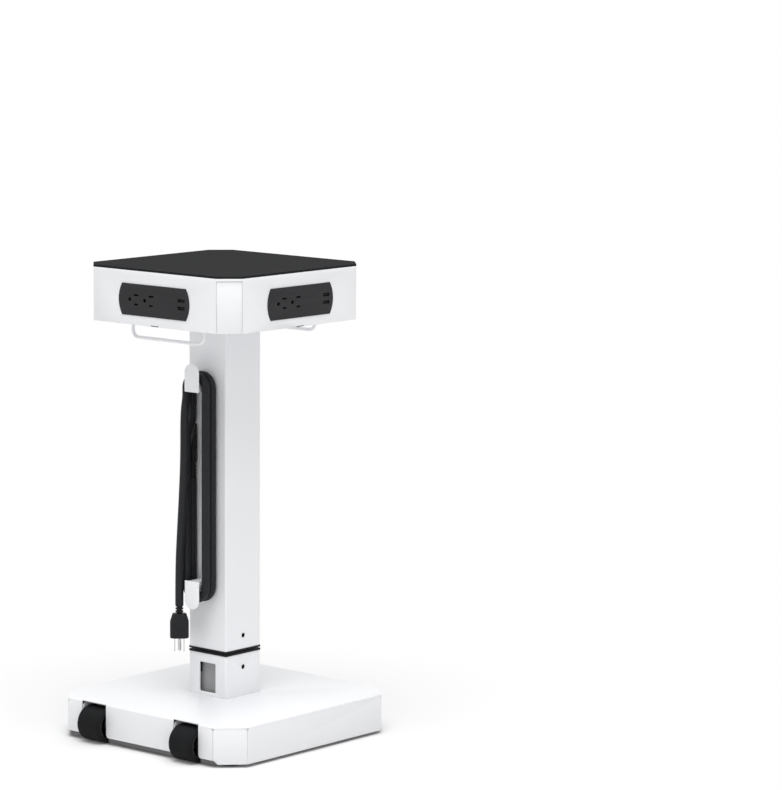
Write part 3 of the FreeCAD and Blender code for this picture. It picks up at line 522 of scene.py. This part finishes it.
def plated(name, tone, roughness, along):
    """Plated steel with fine drawing marks along one direction."""
    f = Finish(name, metallic=1.0)
    marks = f.noise(900.0, stretch=along)
    cloud = f.noise(90.0)
    f.wear(
        base_color=f.shades(cloud, (tone, tone, tone * 0.99), 0.92, 1.06),
        roughness=marks * 0.1 + cloud * 0.06 + roughness,
        normal=f.bump(marks, strength=0.1, distance=0.0001),
    )


def zinc(name, tone, roughness):
    """Zinc-coated steel: the faint patchwork of the coating's crystals."""
    f = Finish(name, metallic=1.0)
    crystals = f.grains(130.0, "Color")
    patch = f.node("ShaderNodeSeparateColor", None, {"Color": crystals}, "Red")
    share = patch * 0.6 + f.noise(40.0, 4.0) * 0.4
    f.wear(
        base_color=f.shades(share, (tone, tone, tone * 1.02), 0.86, 1.08),
        roughness=share * 0.16 + roughness,
        normal=f.bump(share, strength=0.05, distance=0.0001),
    )


def ballast_paint(s):
    """Hammered grey paint on a heavy plate."""
    f = Finish("ballast_paint", specular_ior_level=0.4)
    dents = f.grains(420.0)
    cloud = f.noise(18.0)
    f.wear(
        base_color=f.shades(cloud * 0.6 + dents * 0.4, s.ballast_colour, 0.9, 1.1),
        roughness=cloud * 0.1 + 0.45,
        normal=f.bump(dents, strength=0.3, distance=0.0003),
    )


def contact_gold():
    """Thin gold plating on the spring contacts."""
    f = Finish("contact_gold", metallic=1.0)
    cloud = f.noise(400.0)
    colour = f.blend(cloud, (0.72, 0.48, 0.16, 1.0), (0.86, 0.62, 0.27, 1.0))
    f.wear(base_color=colour, roughness=cloud * 0.1 + 0.22)


def floor_white():
    """A pale floor that fades to white for the camera and still takes the tower's shadow."""
    f = Finish("floor_white", specular_ior_level=0.0, roughness=0.9)
    shown = f.looked_at()
    f.wear(base_color=f.shades(f.noise(300.0, 2.0), WHITE[:3], 0.79, 0.83))
    glow = f.node("ShaderNodeEmission", None, {"Color": WHITE, "Strength": shown * FLOOR_GLOW})
    near = f.node("ShaderNodeAddShader", None, {0: f.surface, 1: glow})
    white = f.node("ShaderNodeEmission", None, {"Color": WHITE, "Strength": 1.0})
    reach = f.node("ShaderNodeVectorMath", {"operation": "LENGTH"}, {0: f.place()}, "Value")
    far = ((reach - FADE_START) * FADE_PER_METRE).clamped() * shown
    f.show(f.node("ShaderNodeMixShader", None, {0: far, 1: near, 2: white}))


def add_object(name, data):
    """Puts a new object round some data into the scene."""
    made = bpy.data.objects.new(name, data)
    bpy.context.scene.collection.objects.link(made)
    return made


def one_active(piece):
    """Leaves a single object selected and active."""
    bpy.ops.object.select_all(action="DESELECT")
    piece.select_set(True)
    bpy.context.view_layer.objects.active = piece


def dress(piece, finish):
    """Gives a piece one finish, by its name, in its slots."""
    piece.data.materials.clear()
    piece.data.materials.append(bpy.data.materials[finish])


def put_on_body(piece, body, finish):
    """Lets a piece ride on a body in a finish."""
    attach(piece, body)
    dress(piece, finish)


def stand_for(piece, *nodes):
    """Lets a piece take the place of nodes of the frame, on their body and in their finish."""
    holder = frame["nodes"][nodes[0]].parent
    body = next(name for name in frame["bodies"] if frame["bodies"][name] == holder)
    finish = next(name for name, worn in WORN.items() if nodes[0] in worn)
    put_on_body(piece, body, finish)
    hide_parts(*nodes)


def apply_modifier(piece, kind, **settings):
    """Adds a modifier with its settings and applies it."""
    one_active(piece)
    made = piece.modifiers.new(kind.title(), kind)
    for key, value in settings.items():
        setattr(made, key, value)
    bpy.ops.object.modifier_apply(modifier=made.name)


def copied(node, name):
    """A merged copy of a frame node as a new object, with its flat areas made whole faces."""
    piece = add_object(name, frame["nodes"][node].data.copy())
    one_active(piece)
    if piece.data.has_custom_normals:
        bpy.ops.mesh.customdata_custom_splitnormals_clear()
    bpy.ops.object.mode_set(mode="EDIT")
    bpy.ops.mesh.select_all(action="SELECT")
    bpy.ops.mesh.remove_doubles(threshold=MERGE_DISTANCE)
    bpy.ops.mesh.dissolve_limited(angle_limit=FLAT_ANGLE)
    bpy.ops.mesh.select_all(action="DESELECT")
    bpy.ops.object.mode_set(mode="OBJECT")
    return piece


def cut_back_corners(piece, width):
    """Cuts the upright corners off the side of a piece that lies on the column."""
    across = [v.co.x for v in piece.data.vertices]
    back = max(v.co.y for v in piece.data.vertices)
    one_active(piece)
    bpy.ops.object.mode_set(mode="EDIT")
    for side, facing in ((min(across), -1.0), (max(across), 1.0)):
        bpy.ops.mesh.select_all(action="SELECT")
        bpy.ops.mesh.bisect(
            plane_co=(side, back - width, 0.0), plane_no=(facing, 1.0, 0.0), use_fill=True,
            clear_outer=True,
        )
    bpy.ops.mesh.select_all(action="DESELECT")
    bpy.ops.object.mode_set(mode="OBJECT")


def softened(node, name, width, segments=2, corner_cut=0.0):
    """Makes a copy of a frame node with rounded edges, which stands for that node."""
    piece = copied(node, name)
    if corner_cut > 0.0:
        cut_back_corners(piece, corner_cut)
    apply_modifier(
        piece, "BEVEL", width=width, segments=segments, limit_method="ANGLE",
        angle_limit=SHARP_ANGLE, use_clamp_overlap=True,
    )
    one_active(piece)
    bpy.ops.object.shade_smooth_by_angle(angle=SHARP_ANGLE)
    stand_for(piece, node)


def turned(piece, quarter, name):
    """A copy of a piece with its own mesh, turned by quarters about the column's axis."""
    twin = add_object(name, piece.data.copy())
    about = Matrix.Rotation(QUARTER_TURN * quarter, 4, "Z")
    twin.data.transform(Matrix.Translation(AXIS) @ about @ Matrix.Translation(-AXIS))
    twin.data.update()
    return twin


def on_every_side(first, stem):
    """The front side's piece with its turned copies for the three other sides."""
    return [first] + [turned(first, i, f"{stem}_{SIDES[i]}") for i in (1, 2, 3)]


def settled(name, matrix):
    """The primitive just added, named, and with its place in its mesh."""
    piece = bpy.context.active_object
    piece.name = name
    piece.data.name = name
    piece.data.transform(matrix)
    piece.data.update()
    return piece


def bar_of(name, size, middle):
    """A small block of a given size round its middle."""
    bpy.ops.object.select_all(action="DESELECT")
    bpy.ops.mesh.primitive_cube_add(size=1.0, location=(0.0, 0.0, 0.0))
    stretch = Matrix.Diagonal(Vector(size).to_4d())
    return settled(name, Matrix.Translation(Vector(middle)) @ stretch)


def button_of(name, radius, sides, deep, middle):
    """A round button that faces along X."""
    bpy.ops.object.select_all(action="DESELECT")
    bpy.ops.mesh.primitive_cylinder_add(
        vertices=sides, radius=radius, depth=deep, location=(0.0, 0.0, 0.0)
    )
    tip = Matrix.Rotation(QUARTER_TURN, 4, "Y")
    return settled(name, Matrix.Translation(Vector(middle)) @ tip)


class TOWER_OT_camera(bpy.types.Operator):
    """Set up the camera at the product view"""

    bl_idname = "tower.camera"
    bl_label = "Camera"

    def execute(self, context):
        lens = bpy.data.cameras.new("product_view")
        lens.lens = CAMERA_LENS
        lens.sensor_width = CAMERA_SENSOR
        lens.clip_start, lens.clip_end = CAMERA_CLIP
        camera = add_object("product_view", lens)
        camera.location = CAMERA_PLACE
        camera.rotation_euler = Euler(CAMERA_TURN, "XYZ")
        context.scene.camera = camera
        return {"FINISHED"}


class TOWER_OT_finishes(bpy.types.Operator):
    """Make every finish and put it on the frame's nodes"""

    bl_idname = "tower.finishes"
    bl_label = "Finishes"

    def execute(self, context):
        s = context.scene.tower
        # the frame's own plain materials have some of these names, so they go first
        for plain in list(bpy.data.materials):
            bpy.data.materials.remove(plain)
        white_paint(s, "white_paint")
        # the column's paint carries painted shade on its end inside the collar
        white_paint(s, "column_paint", shaded_below=s.collar_shade_height)
        top_laminate(s)
        recess_black = tuple(c * 0.35 for c in s.module_colour)
        moulded("module_black", s.module_colour, roughness=0.5, level=0.10)
        moulded("outlet_black", recess_black, roughness=0.5, level=0.15)
        moulded("guide_nylon", s.nylon_colour, roughness=0.5, level=0.12)
        moulded("plug_black", s.plug_colour, roughness=0.5, level=0.2, texture=0.14)
        moulded("hub_plastic", s.nylon_colour, roughness=0.4, level=0.35)
        moulded("box_plastic", BOX_GREY, roughness=0.45, level=0.4)
        cord_jacket(s)
        rubber("tyre_rubber", s.rubber_colour, roughness=0.6)
        rubber("glide_rubber", s.glide_colour, roughness=0.7)
        plated("plated_steel", tone=0.62, roughness=0.2, along=(1.0, 1.0, 0.05))
        plated("shell_steel", tone=0.045, roughness=0.35, along=(1.0, 0.1, 1.0))
        plated("bolt_steel", tone=0.52, roughness=0.28, along=(0.2, 1.0, 1.0))
        plated("black_oxide", tone=0.02, roughness=0.4, along=(0.2, 1.0, 1.0))
        zinc("zinc_steel", tone=0.66, roughness=0.3)
        ballast_paint(s)
        contact_gold()
        for finish, nodes in WORN.items():
            for node in nodes:
                dress(frame["nodes"][node], finish)
        return {"FINISHED"}


class TOWER_OT_plug(bpy.types.Operator):
    """Soften the plug's moulding and the cable entry"""

    bl_idname = "tower.plug"
    bl_label = "Plug and cable entry"

    def execute(self, context):
        s = context.scene.tower
        softened("plug_body", "plug_grip", s.moulded_edge * 1.5, segments=3)
        softened("plug_relief", "plug_sleeve", s.moulded_edge * 0.4)
        softened(
            "cable_hood", "cord_outlet_hood", s.moulded_edge * 0.5, corner_cut=s.hood_corner
        )
        softened("cable_entry", "cord_outlet_sleeve", s.moulded_edge * 0.3)
        return {"FINISHED"}


class TOWER_OT_cord(bpy.types.Operator):
    """Wind the power cord on its hooks and let its end hang"""

    bl_idname = "tower.cord"
    bl_label = "Power cord"

    def execute(self, context):
        s = context.scene.tower
        curve = bpy.data.curves.new("power_cord", "CURVE")
        curve.dimensions = "3D"
        # The curve's box reaches a point's radius past it, so each point's radius is the cord's
        # own, in metres, and the bevel is one metre deep.
        curve.bevel_depth = 1.0
        curve.bevel_resolution = CORD_ROUND_STEPS
        curve.resolution_u = CORD_STEPS
        curve.render_resolution_u = CORD_STEPS
        curve.use_fill_caps = True
        spline = curve.splines.new("NURBS")
        spline.points.add(len(CORD_ROUTE) - 1)
        for point, place in zip(spline.points, CORD_ROUTE):
            point.co = place + (1.0,)
            point.radius = s.cord_diameter / 2
        spline.order_u = 3
        spline.use_endpoint_u = True
        spline.use_smooth = True
        cord = add_object("power_cord", curve)
        stand_for(cord, "cord_coil", "cord_tail")
        return {"FINISHED"}


class TOWER_OT_housings(bpy.types.Operator):
    """Round the edges of the painted sheet pieces"""

    bl_idname = "tower.housings"
    bl_label = "Painted sheet"

    def execute(self, context):
        s = context.scene.tower
        softened("base_cover", "base_cover_sheet", s.sheet_edge)
        softened("head_shell", "head_sheet", s.sheet_edge)
        softened("corner_panels", "corner_panel_sheets", s.sheet_edge)
        softened("collar", "collar_tube", s.sheet_edge)
        return {"FINISHED"}


class TOWER_OT_hooks(bpy.types.Operator):
    """Round the edges of both cord hooks"""

    bl_idname = "tower.hooks"
    bl_label = "Cord hooks"

    def execute(self, context):
        s = context.scene.tower
        softened("cord_hook_upper", "upper_hook_moulding", s.moulded_edge, segments=3)
        softened("cord_hook_lower", "lower_hook_moulding", s.moulded_edge, segments=3)
        return {"FINISHED"}


class TOWER_OT_faceplates(bpy.types.Operator):
    """Soften the edges of the faceplates"""

    bl_idname = "tower.faceplates"
    bl_label = "Faceplates"

    def execute(self, context):
        s = context.scene.tower
        for side in SIDES:
            softened(f"faceplate_{side}", f"faceplate_{side}_moulding", s.moulded_edge * 0.25)
        return {"FINISHED"}


class TOWER_OT_small_parts(bpy.types.Operator):
    """Lay the contacts on the ports' tongues, and dark blocks in the head's lower edge notches as
    painted shade
    """

    bl_idname = "tower.small_parts"
    bl_label = "Contacts and pads"

    def execute(self, context):
        s = context.scene.tower
        low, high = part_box("faceplate_front")
        level = (low.z + high.z) / 2
        for row, rise in (("low", -s.port_rise), ("high", s.port_rise)):
            place = Vector((s.port_place, low.y, level + rise)) + CONTACT_START
            first = bar_of(f"contacts_{row}_front", CONTACT_SIZE, place)
            apply_modifier(
                first, "ARRAY", count=CONTACT_COUNT, use_relative_offset=False,
                use_constant_offset=True, constant_offset_displace=CONTACT_PITCH,
            )
            for piece in on_every_side(first, f"contacts_{row}"):
                put_on_body(piece, "upper", "contact_gold")
        # painted shade: a dark block in each notch of the head's lower edge darkens the notch
        pad = bar_of("notch_pad_front", NOTCH_SHADE_SIZE, s.notch_place)
        apply_modifier(pad, "BEVEL", width=NOTCH_SHADE_EDGE, segments=2)
        for piece in on_every_side(pad, "notch_pad"):
            put_on_body(piece, "upper", "guide_nylon")
        return {"FINISHED"}


class TOWER_OT_seams(bpy.types.Operator):
    """Line the corner seams of the base, and back the holes at their ends"""

    bl_idname = "tower.seams"
    bl_label = "Seam liners"

    def execute(self, context):
        s = context.scene.tower
        deep = SHEET_THICKNESS - s.seam_groove
        for quarter, side in enumerate(SIDES):
            about = Matrix.Rotation(QUARTER_TURN * quarter, 4, "Z")
            for key, (x, y, angle) in SEAM_PLACES.items():
                place = about @ Vector((x, y, 0.0))
                foot = SEAM_FOOT_WHEELS if place.y < WHEEL_SIDE else SEAM_FOOT
                liner = bar_of(
                    f"seam_liner_{side}_{key}", (deep, SEAM_WIDTH, SEAM_HEAD - foot),
                    (-s.seam_groove - deep / 2, 0.0, (SEAM_HEAD + foot) / 2),
                )
                backing = button_of(
                    f"seam_end_{side}_{key}", RELIEF_RADIUS, RELIEF_SIDES, deep,
                    (-RELIEF_DEPTH - deep / 2, 0.0, RELIEF_HEIGHT),
                )
                facing = Matrix.Rotation(math.radians(angle) + QUARTER_TURN * quarter, 4, "Z")
                for piece in (liner, backing):
                    piece.data.transform(Matrix.Translation(AXIS + place) @ facing)
                    piece.data.update()
                    put_on_body(piece, "base", "white_paint")
        return {"FINISHED"}


class TOWER_OT_stage(bpy.types.Operator):
    """Set up the floor, the surroundings and the soft lights"""

    bl_idname = "tower.stage"
    bl_label = "Stage"

    def execute(self, context):
        s = context.scene.tower
        bpy.ops.object.select_all(action="DESELECT")
        bpy.ops.mesh.primitive_plane_add(size=FLOOR_SIZE, location=(0.0, 0.0, 0.0))
        floor = context.active_object
        floor.name = "floor"
        floor_white()
        dress(floor, "floor_white")
        room = bpy.data.worlds.new("white_room")
        room.use_nodes = True
        context.scene.world = room
        around = Graph(room.node_tree, "ShaderNodeOutputWorld")
        strength = around.looked_at() * (1.0 - s.ambient) + s.ambient
        around.show(
            around.node("ShaderNodeBackground", None, {"Color": WHITE, "Strength": strength})
        )
        for name, (power, size, place, aim) in LIGHTS.items():
            lamp = bpy.data.lights.new(name, "AREA")
            lamp.shape = "SQUARE"
            lamp.size = size
            lamp.energy = getattr(s, power)
            holder = add_object(name, lamp)
            holder.location = place
            towards = Vector(aim) - Vector(place)
            holder.rotation_euler = towards.to_track_quat("-Z", "Y").to_euler()
        context.scene.view_settings.view_transform = "Standard"
        return {"FINISHED"}


class TOWER_PT_panel(bpy.types.Panel):
    """The tower's pieces and settings"""

    bl_idname = "TOWER_PT_panel"
    bl_label = "Charging tower"
    bl_space_type = "VIEW_3D"
    bl_region_type = "UI"
    bl_category = "Tower"

    def draw(self, context):
        column = self.layout.column(align=True)
        for name in TowerSettings.__annotations__:
            column.prop(context.scene.tower, name)
        column = self.layout.column(align=True)
        for step in STEPS:
            column.operator(step.bl_idname)


STEPS = (
    TOWER_OT_camera, TOWER_OT_finishes, TOWER_OT_plug, TOWER_OT_cord, TOWER_OT_housings,
    TOWER_OT_hooks, TOWER_OT_faceplates, TOWER_OT_small_parts, TOWER_OT_seams, TOWER_OT_stage,
)


def register():
    bpy.utils.register_class(TowerSettings)
    for step in STEPS:
        bpy.utils.register_class(step)
    bpy.utils.register_class(TOWER_PT_panel)
    bpy.types.Scene.tower = bpy.props.PointerProperty(type=TowerSettings)


def unregister():
    del bpy.types.Scene.tower
    bpy.utils.unregister_class(TOWER_PT_panel)
    for step in reversed(STEPS):
        bpy.utils.unregister_class(step)
    bpy.utils.unregister_class(TowerSettings)


def main():
    """Builds the whole tower."""
    register()
    bpy.ops.tower.camera()
    bpy.ops.tower.finishes()
    bpy.ops.tower.plug()
    bpy.ops.tower.cord()
    bpy.ops.tower.housings()
    bpy.ops.tower.hooks()
    bpy.ops.tower.faceplates()
    bpy.ops.tower.small_parts()
    bpy.ops.tower.seams()
    bpy.ops.tower.stage()


if __name__ == "__main__":
    main()
